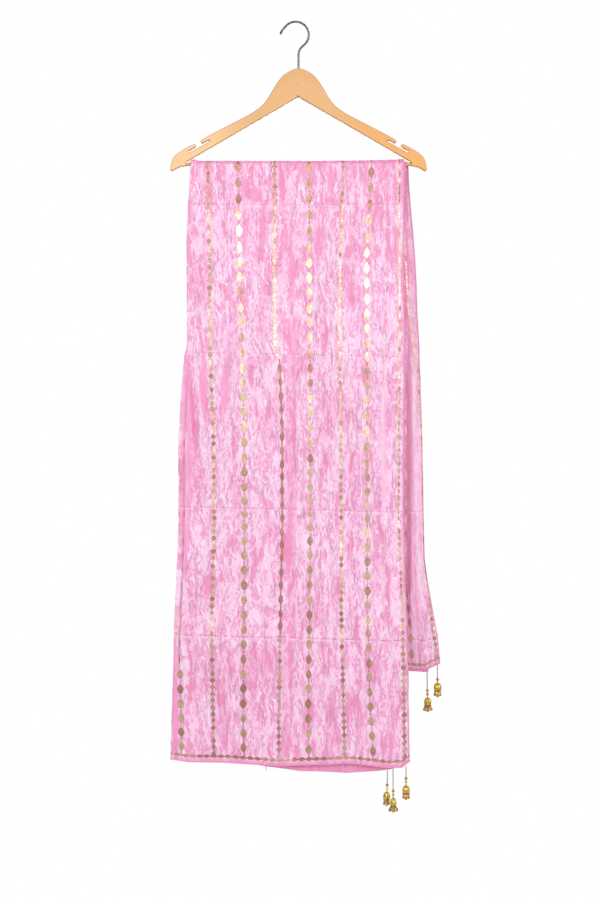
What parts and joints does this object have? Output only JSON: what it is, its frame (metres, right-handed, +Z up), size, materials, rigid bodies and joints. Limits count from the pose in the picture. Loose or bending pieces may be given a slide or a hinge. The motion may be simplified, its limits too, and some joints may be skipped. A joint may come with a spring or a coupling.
{
  "type": "dupatta stole on a wooden hanger",
  "caption": "Long crinkled dupatta stole with foil print and bell tassels, folded lengthwise over the bar of a flat wooden hanger with a wire hook.",
  "frame": {"origin": "underside of the hook's crown, where the rail carries the hanger", "axes": "+Z up, +X to the right seen from the front, +Y away from the viewer, square to the hanger's face"},
  "size_m": [0.4722, 0.052, 1.3703],
  "materials": {
    "cloth": "crushed satin with gold foil print",
    "wood": "clear satin lacquer",
    "steel": "dark polished wire",
    "tassel_gold": "bright gold plating",
    "tassel_cord": "twisted thread"
  },
  "bodies": {
    "root": {"hanger_body": "wood", "hanger_end_left": "wood", "hanger_end_right": "wood", "hanger_bar": "wood", "hanger_hook": "steel", "front_outer": "cloth", "front_inner": "cloth", "back_inner": "cloth", "back_outer": "cloth", "turn_outer": "cloth", "turn_inner": "cloth", "tassel_front_outer": "tassel_gold", "tassel_front_inner_left": "tassel_gold", "tassel_front_inner_right": "tassel_gold", "tassel_back_outer": "tassel_gold", "tassel_back_inner": "tassel_gold"}
  },
  "joints": []
}
